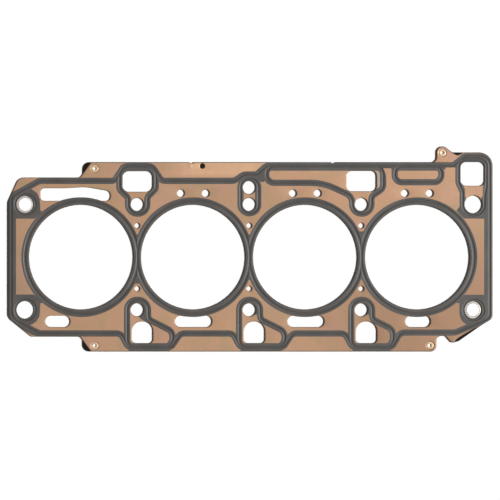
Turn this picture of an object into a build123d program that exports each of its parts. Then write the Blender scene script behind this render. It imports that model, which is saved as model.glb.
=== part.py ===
from build123d import *
from math import degrees, radians, tan
import os

# Multi-layer-steel cylinder head gasket of an in-line four-cylinder engine, lying flat on the deck face.
# Millimetres. X runs along the crankshaft, Y across the block, Z up. The origin is at the centre of the
# head-bolt grid, on the underside. Two thin embossed sheets hold a flat carrier between them, stopper
# rings are welded to the carrier round the bores, and four tubular rivets keep the stack together.

# --- Driving sizes ------------------------------------------------------------------------------------
bore_count = 4
bore_d = 84.0             # openings over the cylinders
web = 6.0                 # metal left between two neighbouring openings
bolt_row_rise = 0.35      # bolt rows lie this far outside the line that touches the bores
bolt_hole_d = 10.5        # head bolts
guide_hole_d = 14.0       # the upper layers stand back from the two guided corner bolts
dowel_hole_d = 14.2       # locating sleeves
oil_feed_d = 10.4         # pressure-oil riser beside the middle bolt
vent_hole_d = 4.2         # small coolant vents in the webs
metering_hole_d = 6.0     # pairs of coolant metering holes over the bores
sight_hole_d = 4.0        # opening in the upper sheet only

sheet = 0.25              # thickness of each embossed sheet
carrier = 0.60            # thickness of the flat carrier
bead_height = 0.25        # how far a bead stands out of its sheet
bead_flank = 0.40         # plan width of a bead's sloping flank
bead_skin = 0.08          # the far side of a bead is this much wider than its groove, on each side
fire_bead_w = 2.6         # mouth width of the bead round each bore
fire_bead_set = 2.1       # flat rim between a bore's edge and its bead
seal_bead_w = 2.0         # mouth width of the beads round oil, coolant and bolts

stopper_w = 1.9           # radial width of the welded stopper rings
stopper_t = 0.12

rivet_d = 3.0             # outside of the tubular rivets
rivet_wall = 0.35
rivet_flange_d = 5.6
rivet_flange_t = 0.18
rivet_clearance = 0.05    # radial, between a rivet and the layers
rivet_seat_edge = 0.4     # flat seat left round a rivet's flange

# --- Derived places -----------------------------------------------------------------------------------
pitch = bore_d + web
bolt_row = bore_d / 2 + bolt_row_rise
bores = [(pitch * (i - (bore_count - 1) / 2), 0) for i in range(bore_count)]
columns = [pitch * (i - bore_count / 2) for i in range(bore_count + 1)]

sheet_top_low = sheet                                # upper face of the lower sheet
carrier_z = sheet_top_low + bead_height              # the beads of the lower sheet carry the carrier
carrier_top = carrier_z + carrier
sheet_z_high = carrier_top + bead_height             # underside of the upper sheet
stack_top = sheet_z_high + sheet


def up(column, x, y, r=0.0):
    """A corner seen from the upper bolt of a column: x along the block, y outwards, rounded by r."""
    return (columns[column] + x, bolt_row + y, r)


def low(column, x, y, r=0.0):
    """The same from the lower bolt of a column, y again outwards."""
    return (columns[column] + x, -bolt_row - y, r)


# --- Plan: edge of the gasket -------------------------------------------------------------------------
left_end, right_end = -14.0, 15.5          # beyond the first and the last bolt column
shoulder, rail, crown = 21.7, 34.0, 41.8   # steps of the upper edge, outwards of the bolt row
low_shoulder, low_rail = 21.6, 33.5        # and of the lower edge

first, last = 0, bore_count                # the end columns

lower_left = [low(first, left_end, 6.3, 7), low(first, 5.0, low_shoulder, 2)]
lower_right = [low(last, -29.6, low_rail, 5), low(last, -29.6, 21.0, 3.5), low(last, -22.4, 21.0, 1.5)]
upper_right = [up(last, right_end, crown, 11)]
ear = [up(last, -23.2, 46.65, 4.6), up(last, -29.7, 46.65, 4.8), up(last, -29.7, rail, 4)]
upper_left = [up(first, -5.1, shoulder, 7), up(first, left_end, 1.9, 6)]

# The sheets are cut back at four places, where the carrier shows beside them.
sheet_edge = (
    lower_left
    + [low(first, 44.2, low_shoulder, 3), low(first, 52.9, low_rail, 1)]
    + lower_right
    + [low(last, -17.4, 26.9, 3), low(last, right_end, 6.9, 5)]
    + upper_right
    + [up(last, -8.4, crown, 4), up(last, -13.0, 39.5, 3), up(last, -17.2, crown, 3)]
    + ear
    + [up(first, 53.1, rail, 1), up(first, 44.2, shoulder, 3)]
    + upper_left
)
carrier_edge = (
    lower_left
    + [low(first, 46.0, low_shoulder, 3), low(first, 46.0, low_rail, 5.5)]
    + lower_right
    + [low(last, -17.8, 26.7, 3), low(last, -12.0, 25.2, 4), low(last, 5.5, 13.0, 8), low(last, right_end, 6.9, 5)]
    + upper_right
    + [up(last, -17.2, crown, 3)]
    + ear
    + [up(first, 46.2, rail, 5.5), up(first, 46.2, shoulder, 3)]
    + upper_left
)
edge_notches = [up(2, -46.5, rail), up(3, -22.5, rail)]    # shallow nicks in the upper rail
notch_w, notch_depth = 3.0, 0.7

# --- Plan: openings -----------------------------------------------------------------------------------
band_w = 6.1                               # sealing land kept round each bore
web_vent_in = 17.0                         # vents lie this far inwards of the bolt rows
metering_x, metering_y = 10.0, 8.95        # from the bore's axis, and outwards of the bolt row
oil_feed_rise = 13.65

passages = [                               # coolant and oil passages, as corners
    [up(1, -11.8, 10.2, 5), up(1, 12.5, 10.2, 5), up(1, 12.5, 26.7, 5), up(1, -11.8, 26.7, 5)],
    [up(3, -11.8, 10.6, 4), up(3, 12.2, 10.6, 4), up(3, 12.2, 26.9, 4), up(3, -11.8, 26.9, 4)],
    [up(4, -10.3, 15.0, 4.5), up(4, 9.1, 15.0, 4.5), up(4, 9.1, 34.0, 4.5), up(4, -10.3, 34.0, 4.5)],
]
drain = [(-4.3, 26.7, 3.2), (12.6, 26.7, 3.2), (12.6, 9.4, 7.6), (-4.3, 9.4, 7.6)]   # round-headed oil drains
long_slot = [up(0, 12.3, 2.9, 3), up(0, 68.5, 2.9, 3.4), up(0, 68.5, 10.6, 4), up(0, 49, 14, 40),
             up(0, 33, 13.0, 30), up(0, 12.3, 13.0, 3)]
lower_slots = [                            # corners: left and right end, each with its own bore
    (0, -28.9, -8.9), (1, -14.7, 15.1), (2, -14.2, 15.2), (3, -9.7, 10.6),
]
slot_top, slot_low, slot_end_r = 4.7, 13.8, 4.4

# --- Plan: beads (centre lines) -----------------------------------------------------------------------
ring_r = 8.2                               # beads round the corner bolts and dowels
loop_r = 7.4                               # bead round a bolt that shares a loop with a passage
feed_loop_r = 7.1

perimeter_bead = [
    low(0, -11.2, 6.5, 7), up(0, -11.2, 6.5, 5), up(0, 11.4, 18.9, 8),
    up(1, -18.3, 18.9, 5), up(1, -10.8, 30.7, 5), up(1, 11.0, 30.7, 5), up(1, 18.7, 18.9, 5),
    up(2, -12.0, 18.9, 8), up(2, -4.5, 24.0, 6), up(2, 5.8, 24.0, 5), up(2, 13.2, 30.7, 5),
    up(4, -18.2, 30.7, 5), up(4, -8.2, 38.5, 5), up(4, 12.9, 38.5, 7),
    low(4, 12.9, 6.6, 6), low(4, -14.6, 18.2, 12),
    low(3, 31.2, 18.2, 6), low(3, 24.4, 30.0, 5), low(3, -7.5, 30.0, 5), low(3, -15.0, 18.9, 6),
    low(2, 34.6, 18.9, 6), low(2, 27.2, 30.0, 5), low(2, -7.5, 30.0, 5), low(2, -15.0, 18.9, 6),
    low(1, 34.6, 18.9, 6), low(1, 27.2, 30.0, 5), low(1, -7.5, 30.0, 5), low(1, -15.0, 18.9, 6),
    low(0, 10.5, 18.9, 10),
]
# A passage and its bolt share one loop, closed by the perimeter bead above them.
passage_loop = [
    up(1, -14.4, 25.0), up(1, -14.4, 12.2, 5), up(1, -loop_r, 5.2, 4), up(1, -loop_r, -loop_r, loop_r),
    up(1, loop_r, -loop_r, loop_r), up(1, loop_r, 5.2, 4), up(1, 14.7, 12.0, 5), up(1, 14.7, 25.0),
]
# The third bore's land dips from the gallery channel down to the bolt and back up round the passage.
gallery_loop = [
    up(2, 24.0, 30.7), up(2, 12.3, 30.7, 6.4), up(2, 12.3, 17.35, 6.4), up(2, 54.0, 17.35, 30),
    up(3, -loop_r, 6.0, 8), up(3, -loop_r, -loop_r, loop_r), up(3, loop_r, -loop_r, loop_r),
    up(3, loop_r, 5.6, 4), up(3, 17.6, 12.4, 6), up(3, 17.6, 30.7, 7), up(3, 8.0, 30.7),
]
channel_loop = [up(3, 26.0, 30.7, 5.8), up(4, -25.5, 30.7, 5), up(4, -25.5, 17.8, 5), up(3, 26.0, 17.8, 5.8)]
corner_loop = [
    up(4, -12.1, 35.9, 5.5), up(4, 10.3, 35.9, 5.5), up(4, 10.3, 14.5, 6), up(4, 8.7, 7.0, 6),
    up(4, 8.7, -8.7, 8.6), up(4, -8.7, -8.7, 8.6), up(4, -8.7, 10.0, 5), up(4, -12.1, 17.5, 5),
]
feed_loop = [
    up(2, -feed_loop_r, -feed_loop_r, feed_loop_r), up(2, feed_loop_r, -feed_loop_r, feed_loop_r),
    up(2, feed_loop_r, oil_feed_rise + feed_loop_r, feed_loop_r),
    up(2, -feed_loop_r, oil_feed_rise + feed_loop_r, feed_loop_r),
]
drain_reach = {1: 28.3, 2: 28.3, 3: 25.3}  # how far each drain's loop runs beyond its bolt


def drain_loop(column):
    reach = drain_reach[column]
    slope = 0.48                           # the loop's upper side falls away towards its far end
    return [
        low(column, -8.2, -8.1, 8.1), low(column, 8.6, -8.1, 8.1), low(column, 8.6, 6.9, 5),
        low(column, reach, 6.9 + slope * (reach - 8.6), 4), low(column, reach, 30.0, 6), low(column, -8.2, 30.0, 6),
    ]


rivets = [up(0, 55.9, 28.75), low(0, 55.9, 28.7), up(4, -24.9, 41.5), low(4, -34.9, 28.5)]


least_run = 0.001         # two arcs that meet closer than this need no straight between them

# --- Shape helpers ------------------------------------------------------------------------------------
def outline(corners, closed=True):
    """Straight lines joined by tangent arcs at the given corners. An open outline keeps its two ends sharp.
    Where two neighbouring arcs have no room between their corners, both give way."""
    count = len(corners)
    places = [Vector(x, y) for x, y, r in corners]
    last_run = count if closed else count - 1
    ways = [(places[(i + 1) % count] - places[i]).normalized() for i in range(count)]
    setbacks = [r * tan(radians(ways[i - 1].get_angle(ways[i]) / 2)) for i, (x, y, r) in enumerate(corners)]
    if not closed:
        setbacks[0] = setbacks[-1] = 0
    for i in range(last_run):
        after = (i + 1) % count
        room = (places[after] - places[i]).length
        if setbacks[i] + setbacks[after] > room:
            share = room / (setbacks[i] + setbacks[after])
            setbacks[i] *= share
            setbacks[after] *= share
    starts = [places[i] - ways[i - 1] * setbacks[i] for i in range(count)]
    ends = [places[i] + ways[i] * setbacks[i] for i in range(count)]
    edges = []
    for i in range(count):
        if setbacks[i] > least_run:
            edges.append(Edge.make_tangent_arc(starts[i], ways[i - 1], ends[i]))
        following = starts[(i + 1) % count]
        if i < last_run and (following - ends[i]).length > least_run:
            edges.append(Edge.make_line(ends[i], following))
    return Wire(edges)


def plate(corners):
    """A flat face bounded by rounded corners."""
    return make_face(outline(corners))


def discs(places, diameter):
    """One round face at each place."""
    return [Pos(place[0], place[1]) * Circle(diameter / 2) for place in places]


def upper_bolts():
    return [up(column, 0, 0) for column in range(1, bore_count)]


def lower_bolts():
    return [low(column, 0, 0) for column in range(1, bore_count)]


def openings(corner_bolt_d):
    """Every opening that all the layers share, with the corner bolt holes at the size of this layer."""
    vents = [(x, side * (bolt_row - web_vent_in)) for x in columns[1:-1] for side in (1, -1)]
    metering = [(x + side * metering_x, bolt_row + metering_y) for x, y in bores[1:] for side in (1, -1)]
    lands = [Pos(x, y) * Circle(bore_d / 2 + band_w) for x, y in bores]
    slots = [plate(long_slot) - lands[0]]
    for bore, start, end in lower_slots:
        x = bores[bore][0]
        ends = [(x + start, -bolt_row - slot_top), (x + end, -bolt_row - slot_top),
                (x + end, -bolt_row - slot_low), (x + start, -bolt_row - slot_low)]
        slots.append(plate([(*corner, slot_end_r) for corner in ends]) - lands[bore])
    drains = [plate([low(column, x, y, r) for x, y, r in drain]) for column in (1, 2, 3)]
    return (
        discs(bores, bore_d)
        + discs(upper_bolts() + lower_bolts(), bolt_hole_d)
        + discs([up(first, 0, 0), low(last, 0, 0)], corner_bolt_d)
        + discs([low(first, 0, 0), up(last, 0, 0)], dowel_hole_d)
        + discs([up(2, 0, oil_feed_rise)], oil_feed_d)
        + discs(vents, vent_hole_d)
        + discs(metering, metering_hole_d)
        + discs(rivets, rivet_d + 2 * rivet_clearance)
        + [plate(passage) for passage in passages]
        + slots
        + drains
    )


def layer(edge, corner_bolt_d, z, thickness):
    """A flat blank: the given edge, the shared openings, raised to z."""
    face = plate(edge)
    for x, y, r in edge_notches:
        face -= Pos(x, y) * Rectangle(notch_w, 2 * notch_depth)
    for opening in openings(corner_bolt_d):
        face -= opening
    return extrude(Pos(0, 0, z) * face, amount=thickness)


# --- Beads --------------------------------------------------------------------------------------------
def bead_section(width, wide_z, narrow_z, root):
    """Half-widths and heights of a bead's section: a straight root of the full width, then sloping flanks."""
    half = width / 2
    return [(-half, root), (half, root), (half, wide_z), (half - bead_flank, narrow_z),
            (-half + bead_flank, narrow_z), (-half, wide_z)]


def bead_run(edge, section):
    """The bead's section carried along one straight or round edge of its centre line."""
    start, along = edge @ 0, edge % 0
    plane = Plane(origin=start, x_dir=Vector(along.Y, -along.X, 0), z_dir=-along)
    face = plane * make_face(Polyline(*section, close=True))
    if edge.geom_type == GeomType.LINE:
        return extrude(face, amount=edge.length, dir=along)
    centre = edge.arc_center
    turn = (start - centre).cross(along).Z
    axis = Axis((centre.X, centre.Y, 0), (0, 0, 1 if turn > 0 else -1))
    return revolve(face, axis, degrees(edge.length / edge.radius))


def cone_disc(x, y, wide_r, narrow_r, wide_z, narrow_z, root):
    """A disc with a straight root and one sloping flank."""
    profile = Polyline((0, root), (wide_r, root), (wide_r, wide_z), (narrow_r, narrow_z), (0, narrow_z), close=True)
    return Pos(x, y) * revolve(Plane.XZ * make_face(profile), Axis.Z)


def seal_paths():
    """Centre lines of the beads round oil, coolant and bolts."""
    closed = [perimeter_bead, channel_loop, corner_loop, feed_loop] + [drain_loop(c) for c in drain_reach]
    opened = [passage_loop, gallery_loop]
    rings = [up(first, 0, 0), low(last, 0, 0), low(first, 0, 0)]
    return (
        [outline(path) for path in closed]
        + [outline(path, closed=False) for path in opened]
        + [Pos(x, y) * CenterArc((0, 0), ring_r, 0, 360) for x, y, r in rings]
    )


def embossing(widen, wide_z, narrow_z, root):
    """All beads and rivet seats of one sheet, as the body between two heights. The grooves use it with no
    widening, the crests on the far side are wider by the sheet's skin."""
    section = bead_section(seal_bead_w + 2 * widen, wide_z, narrow_z, root)
    runs = [bead_run(edge, section) for path in seal_paths() for edge in path.edges()]
    inner = bore_d / 2 + fire_bead_set - widen
    outer = bore_d / 2 + fire_bead_set + fire_bead_w + widen
    fire_outer = [cone_disc(x, y, outer, outer - bead_flank, wide_z, narrow_z, root) for x, y in bores]
    fire_inner = [cone_disc(x, y, inner, inner + bead_flank, wide_z, narrow_z, root) for x, y in bores]
    seat = rivet_flange_d / 2 + rivet_seat_edge + bead_flank + widen
    seats = [cone_disc(x, y, seat, seat - bead_flank, wide_z, narrow_z, root) for x, y, r in rivets]
    fire = fire_outer[0].fuse(*fire_outer[1:]).cut(*fire_inner)
    return runs, fire, seats


def emboss(blank, outside_z, inside_z, way):
    """Press the bead network into a blank: crests on the inside face, grooves in the outside face."""
    overlap = sheet / 2
    crests = embossing(bead_skin, inside_z, inside_z + way * bead_height, inside_z - way * overlap)
    grooves = embossing(0, outside_z, outside_z + way * bead_height, outside_z - way * overlap)
    raised = blank.fuse(*crests[0], crests[1], *crests[2])
    for x, y, r in rivets:
        raised -= Pos(x, y, inside_z) * Cylinder(rivet_d / 2 + rivet_clearance, 4 * bead_height)
    return raised.cut(*grooves[0], grooves[1], *grooves[2])


# --- The pieces ---------------------------------------------------------------------------------------
def top_layer():
    blank = layer(sheet_edge, guide_hole_d, sheet_z_high, sheet)
    x, y, r = up(2, -37.8, 30.8)
    blank -= Pos(x, y, sheet_z_high) * Cylinder(sight_hole_d / 2, 4 * sheet)
    return emboss(blank, stack_top, sheet_z_high, -1)


def bottom_layer():
    blank = layer(sheet_edge, bolt_hole_d, 0, sheet)
    return emboss(blank, 0, sheet, 1)


def carrier_layer():
    return layer(carrier_edge, guide_hole_d, carrier_z, carrier)


def stopper_ring(x, y):
    ring = Circle(bore_d / 2 + stopper_w) - Circle(bore_d / 2)
    return extrude(Pos(x, y, carrier_top) * ring, amount=stopper_t)


def rivet(x, y):
    """A tube through the stack with a flange turned over at each end, each flush inside its seat."""
    low_seat, high_seat = bead_height, stack_top - bead_height
    r_in, r_out, r_flange = rivet_d / 2 - rivet_wall, rivet_d / 2, rivet_flange_d / 2
    bottom, top = low_seat - rivet_flange_t, high_seat + rivet_flange_t
    profile = Polyline((r_in, bottom), (r_flange, bottom), (r_flange, low_seat), (r_out, low_seat),
                       (r_out, high_seat), (r_flange, high_seat), (r_flange, top), (r_in, top), close=True)
    return Pos(x, y) * revolve(Plane.XZ * make_face(profile), Axis.Z)


pieces = {"top_layer": top_layer(), "carrier_layer": carrier_layer(), "bottom_layer": bottom_layer()}
for number, (x, y) in enumerate(bores, start=1):
    pieces[f"stopper_ring_{number}"] = stopper_ring(x, y)
for number, (x, y, r) in enumerate(rivets, start=1):
    pieces[f"rivet_{number}"] = rivet(x, y)

os.makedirs("parts", exist_ok=True)
for name, piece in pieces.items():
    export_step(piece, f"parts/{name}.step")
    print(name, "volume", round(piece.volume, 1), "mm3, solids", len(piece.solids()))
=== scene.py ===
# %% [markdown]
# # A multi-layer-steel cylinder head gasket
# The gasket lies flat, as it does on the engine block before the head goes on. It is a stack of
# thin steel: two spring-steel sheets with pressed beads, a flat carrier between them, four stopper
# rings round the bores and four tubular rivets. The CAD model has every layer in its place, so the
# lesson loads it as a fixed frame and adds the finish: softly pressed beads, bronze lacquer,
# printed sealing coat and rolled rivets.

# %% Load the frame
from math import ceil, cos, pi, radians, sin, tan

import bpy
import bmesh
import numpy as np
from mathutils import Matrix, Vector
from mathutils.geometry import delaunay_2d_cdt


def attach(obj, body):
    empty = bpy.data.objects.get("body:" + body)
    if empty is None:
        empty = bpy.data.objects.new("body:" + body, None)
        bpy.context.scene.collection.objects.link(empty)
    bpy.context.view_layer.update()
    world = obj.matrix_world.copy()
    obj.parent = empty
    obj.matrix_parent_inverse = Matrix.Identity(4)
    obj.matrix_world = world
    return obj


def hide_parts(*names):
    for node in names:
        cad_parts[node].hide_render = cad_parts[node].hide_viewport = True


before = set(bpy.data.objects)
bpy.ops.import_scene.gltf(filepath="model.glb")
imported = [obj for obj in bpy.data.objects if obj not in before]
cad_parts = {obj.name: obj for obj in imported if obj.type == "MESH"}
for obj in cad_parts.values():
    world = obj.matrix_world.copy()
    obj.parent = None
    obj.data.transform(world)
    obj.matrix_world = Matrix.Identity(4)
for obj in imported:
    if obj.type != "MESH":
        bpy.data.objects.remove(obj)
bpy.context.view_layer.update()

print("CAD pieces:", sorted(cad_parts))

# %% [markdown]
# ## Writing nodes as sums
# The sheets and their finishes are node trees. Clicked together by hand they would be hard to
# read, so two small classes write them: a Net makes the nodes of a tree, and a Wire is one socket
# on which ordinary arithmetic works. 1 - mask is then one Math node.

# %% Wire
class Wire:
    """One output socket. Arithmetic on it adds Math nodes to its tree."""

    def __init__(self, net, socket):
        self.net, self.socket = net, socket

    def also(self, name):
        """Another output of the same node."""
        return Wire(self.net, self.socket.node.outputs[name])

    def _math(self, operation, *values):
        return self.net.add("ShaderNodeMath", {"operation": operation}, dict(enumerate(values)))

    def __add__(self, other): return self._math("ADD", self, other)
    def __radd__(self, other): return self._math("ADD", other, self)
    def __sub__(self, other): return self._math("SUBTRACT", self, other)
    def __rsub__(self, other): return self._math("SUBTRACT", other, self)
    def __mul__(self, other): return self._math("MULTIPLY", self, other)
    def __rmul__(self, other): return self._math("MULTIPLY", other, self)
    def __lt__(self, other): return self._math("LESS_THAN", self, other)
    def __gt__(self, other): return self._math("GREATER_THAN", self, other)
    def __abs__(self): return self._math("ABSOLUTE", self)
    def bigger(self, other): return self._math("MAXIMUM", self, other)


print("arithmetic on sockets ready")

# %% Net
class Net:
    """A node tree that is written from Python."""

    def __init__(self, tree):
        self.tree = tree

    def add(self, kind, settings=None, sockets=None, out=0):
        """One node: its settings first, then the values or wires of its sockets."""
        node = self.tree.nodes.new(kind)
        for name, value in (settings or {}).items():
            setattr(node, name, value)
        for name, value in (sockets or {}).items():
            self.feed(value, node.inputs[name])
        return Wire(self, node.outputs[out]) if node.outputs else node

    def feed(self, value, socket):
        """A wire or a list of wires is linked to a socket, and anything else is its value."""
        wires = value if isinstance(value, list) else [value]
        if isinstance(wires[0], Wire):
            for wire in wires:
                self.tree.links.new(wire.socket, socket)
        else:
            socket.default_value = value

    def soft_step(self, value, low, high, at_low=0.0, at_high=1.0):
        """Runs smoothly from one value to another as value goes from low to high."""
        return self.add("ShaderNodeMapRange", {"interpolation_type": "SMOOTHSTEP"},
                        {0: value, 1: low, 2: high, 3: at_low, 4: at_high})

    def between(self, value, rise, fall):
        """1 between two slopes, each given by where it starts and ends, and 0 outside them."""
        return self.soft_step(value, *rise) * self.soft_step(value, *fall, 1.0, 0.0)

    def mix(self, mask, low, high):
        """A colour between low, where mask is 0, and high, where it is 1."""
        return self.add("ShaderNodeMix", {"data_type": "RGBA"}, {0: mask, 6: low, 7: high}, out=2)


print("node writer ready")

# %% [markdown]
# ## Sizes
# Blender works in metres, but a gasket is drawn in millimetres, so sizes are in millimetres until
# a mesh is made. As in the workshop drawing, a corner is given from its nearest head bolt.

# %% Sizes of the stack
MM = 0.001
SHEET, CARRIER, BEAD = 0.25, 0.60, 0.25
INNER_LOW = SHEET  # inner face of the lower sheet
INNER_HIGH = SHEET + BEAD + CARRIER + BEAD  # inner face of the upper sheet
STACK = INNER_HIGH + SHEET
BORE_R, PITCH, BOLT_ROW = 42.0, 90.0, 42.35
BORES = [PITCH * (i - 1.5) for i in range(4)]
COLUMNS = [PITCH * (i - 2) for i in range(5)]
print("stack thickness, mm:", STACK)

# %% Sizes of the pressing and the print
SEAL_MOUTH, SEAL_FLOOR = 1.15, 0.3  # half-widths of a seal bead
FIRE_AT, FIRE_MOUTH, FIRE_FLOOR = 3.4, 1.45, 0.45  # the bead round a bore, from the bore's edge
GROOVE = 0.38  # the outer face sinks more than the inner rises
SEAT_EDGE, SEAT_FLAT = 3.6, 3.2  # the recess that a rivet's flange sits in
RIVET_HOLE_R = 1.55
BAND_HALF = 2.55  # printed on each side of a seal bead
BORE_BAND = 6.1  # printed round each bore
ROLL, ROLL_DEPTH = 0.8, 0.6  # rolled rim: width, and depth next to a bead's
LEDGE_R = 7.0  # bare ring of the lower sheet at a guided bolt
NUB, NUB_R, NUB_DEPTH = (-47.5, 73.4), 2.2, 0.5  # a small raised mark on the upper rail
print("a groove is", GROOVE, "mm deep and", 2 * SEAL_MOUTH, "mm wide")

# %% Places counted from the bolts
def up(column, x, y, r=0.0):
    """A corner from the upper bolt of a column, y outwards, rounded by r."""
    return (COLUMNS[column] + x, BOLT_ROW + y, r)


def low(column, x, y, r=0.0):
    """The same from the lower bolt, y again outwards."""
    return (COLUMNS[column] + x, -BOLT_ROW - y, r)


RIVETS = [up(0, 55.9, 28.75)[:2], low(0, 55.9, 28.7)[:2],
          up(4, -24.9, 41.5)[:2], low(4, -34.9, 28.5)[:2]]
LEDGES = [up(0, 0, 0)[:2], low(4, 0, 0)[:2]]
TRIMMED = [(164.6, -68.3), (165.7, -66.4), (168, -64.7), (171.9, -62.2), (175, -60.4),
           (180, -57.5), (184.6, -55.5)]  # the upper sheet is cut back to this line
TRIM_INWARD = (-0.53, 0.85)  # from that line into the sheet
print("rivets at", RIVETS)

# %% [markdown]
# ## Where the beads run
# A bead is a shallow groove pressed into the sheet. Clamped flat, it springs back and presses a
# narrow line of sealing coat against the metal. Each loop goes round something that must not leak.
# The grooves and the printed bands both follow these corner lists, so they stay together.

# %% Bead along the outer edge
PERIMETER = [
    low(0, -11.2, 6.5, 7), up(0, -11.2, 6.5, 5), up(0, 11.4, 18.9, 8),
    up(1, -18.3, 18.9, 5), up(1, -10.8, 30.7, 5), up(1, 12.0, 30.7, 6), up(1, 19.6, 18.9, 5),
    up(2, -12.0, 18.9, 8), up(2, -4.5, 24.0, 6), up(2, 5.8, 24.0, 5), up(2, 13.2, 30.7, 5),
    up(4, -16.9, 30.7, 6), up(4, -7.2, 38.5, 5), up(4, 12.9, 38.5, 7),
    low(4, 12.9, 6.6, 6), low(4, -14.6, 18.2, 12),
    low(3, 31.2, 18.2, 6), low(3, 24.4, 30.0, 5), low(3, -7.3, 30.0, 5), low(3, -13.2, 18.9, 6),
    low(2, 34.6, 18.9, 6), low(2, 27.2, 30.0, 5), low(2, -7.3, 30.0, 5), low(2, -13.2, 18.9, 6),
    low(1, 34.6, 18.9, 6), low(1, 27.2, 30.0, 5), low(1, -7.3, 30.0, 5), low(1, -13.2, 18.9, 6),
    low(0, 10.5, 18.9, 10),
]
print("corners of the outer bead:", len(PERIMETER))

# %% Beads round the passages
LOOP, WIDE = 7.4, 8.0  # a loop's reach, and on its wider side
PASSAGE = [
    up(1, -6.0, 30.7), up(1, -14.4, 30.7, 8), up(1, -14.4, 12.2, 5), up(1, -LOOP, 5.2, 4),
    up(1, -LOOP, -LOOP, LOOP), up(1, WIDE, -LOOP, LOOP), up(1, WIDE, 5.7, 4),
    up(1, 14.9, 12.6, 5), up(1, 14.9, 30.7, 8), up(1, 6.0, 30.7),
]
GALLERY = [
    up(2, 24.0, 30.7), up(2, 13.5, 30.7, 6.4), up(2, 13.5, 17.35, 6.4), up(2, 59.0, 17.35, 45),
    up(3, -LOOP, 6.5, 8.5), up(3, -LOOP, -LOOP, LOOP), up(3, WIDE, -LOOP, LOOP),
    up(3, WIDE, 6.4, 5), up(3, 17.4, 12.8, 6), up(3, 17.4, 30.7, 7), up(3, 8.0, 30.7),
]
CHANNEL = [
    up(3, 26.7, 30.7, 5.8), up(4, -25.8, 30.7, 5.8),
    up(4, -25.8, 17.8, 5.8), up(3, 26.7, 17.8, 5.8),
]
CORNER = [
    up(4, -12.1, 35.9, 5.5), up(4, 10.3, 35.9, 5.5), up(4, 10.3, 14.5, 6), up(4, 8.7, 7.0, 6),
    up(4, 8.7, -8.7, 8.6), up(4, -8.7, -8.7, 8.6), up(4, -8.7, 10.0, 5), up(4, -12.1, 17.5, 5),
]
FEED = [
    up(2, -7.1, -7.1, 7.1), up(2, 7.1, -7.1, 7.1), up(2, 7.1, 20.75, 7.1), up(2, -7.1, 20.75, 7.1),
]
print("corners round the passages:", sum(map(len, (PASSAGE, GALLERY, CHANNEL, CORNER, FEED))))

# %% Beads round the oil drains and the last bolts
DRAIN_REACH = {1: 28.3, 2: 28.3, 3: 25.3}  # how far a drain's loop runs right of its bolt
DRAIN_BEND, DRAIN_RISE = (8.6, 7.4), 0.505  # where its slanted side starts, and its slope
RING_R = 8.2


def drain(column, reach):
    """The loop round a lower bolt and the oil drain beside it."""
    bend_x, bend_y = DRAIN_BEND
    return [
        low(column, -8.2, -8.1, 8.1), low(column, bend_x, -8.1, 8.1),
        low(column, bend_x, bend_y, 5),
        low(column, reach, bend_y + DRAIN_RISE * (reach - bend_x), 7),
        low(column, reach, 30.0, 7.5), low(column, -8.2, 30.0, 6),
    ]


CLOSED_LINES = [PERIMETER, CHANNEL, CORNER, FEED]
CLOSED_LINES += [drain(column, reach) for column, reach in DRAIN_REACH.items()]
OPEN_LINES = [PASSAGE, GALLERY]
RINGS = [up(0, 0, 0)[:2], low(4, 0, 0)[:2], low(0, 0, 0)[:2]]
print("bead lines:", len(CLOSED_LINES) + len(OPEN_LINES) + len(RINGS),
      "and", len(BORES), "round the bores")

# %% [markdown]
# ## From corners to smooth lines
# A corner with a radius becomes an arc that touches both of its runs. Points sit close together on
# the arcs and only at the ends of the straights, because a straight groove needs no more. Each
# point also keeps its sideways direction, so a parallel line at any distance is one sum.

# %% Arcs
ARC_STEP = radians(7.0)


def shorten_arcs(places, setbacks, closed):
    """Where two arcs meet on a run that is too short for both, each gives way by the same share."""
    count = len(places)
    for i in range(count if closed else count - 1):
        j = (i + 1) % count
        room, wanted = (places[j] - places[i]).length, setbacks[i] + setbacks[j]
        if wanted > room:
            share = room / wanted
            setbacks[i] *= share
            setbacks[j] *= share


def arc(corner, way, turn, setback):
    """(point, sideways) pairs round one corner that is reached along way. Clockwise is positive."""
    side = 1.0 if turn < 0 else -1.0  # the side that the arc's centre is on
    radius = setback / tan(abs(turn) / 2)
    start = corner - way * setback
    normal = Vector((-way.y, way.x))
    centre = start + normal * side * radius
    steps = max(2, ceil(abs(turn) / ARC_STEP))
    pairs = []
    for k in range(steps + 1):
        angle = -turn * k / steps
        turned = Vector((normal.x * cos(angle) - normal.y * sin(angle),
                         normal.x * sin(angle) + normal.y * cos(angle)))
        pairs.append((centre - turned * side * radius, turned))
    return pairs


quarter = arc(Vector((0, 0)), Vector((1, 0)), radians(-90), 5.0)
print("a quarter turn has", len(quarter), "points")

# %% Lines and their parallels
NO_ARC = 1e-6  # a setback below this is a sharp corner


def smooth_line(corners, closed=True):
    """(point, sideways) pairs along straight runs joined by arcs."""
    count = len(corners)
    places = [Vector(corner[:2]) for corner in corners]
    ways = [(places[(i + 1) % count] - places[i]).normalized() for i in range(count)]
    turns = [ways[i - 1].angle_signed(ways[i]) for i in range(count)]
    setbacks = [corner[2] * tan(abs(turn) / 2) for corner, turn in zip(corners, turns)]
    if not closed:
        setbacks[0] = setbacks[-1] = 0.0
    shorten_arcs(places, setbacks, closed)
    line = []
    for i in range(count):
        if setbacks[i] < NO_ARC:
            way = ways[i] if i < count - 1 or closed else ways[i - 1]
            line.append((places[i], Vector((-way.y, way.x))))
        else:
            line += arc(places[i], ways[i - 1], turns[i], setbacks[i])
    return line


def beside(line, distance):
    return [point + sideways * distance for point, sideways in line]


def circle(centre, radius, step_degrees=2.0):
    count = round(360 / step_degrees)
    return [Vector((centre[0] + radius * cos(2 * pi * k / count),
                    centre[1] + radius * sin(2 * pi * k / count))) for k in range(count)]


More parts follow.
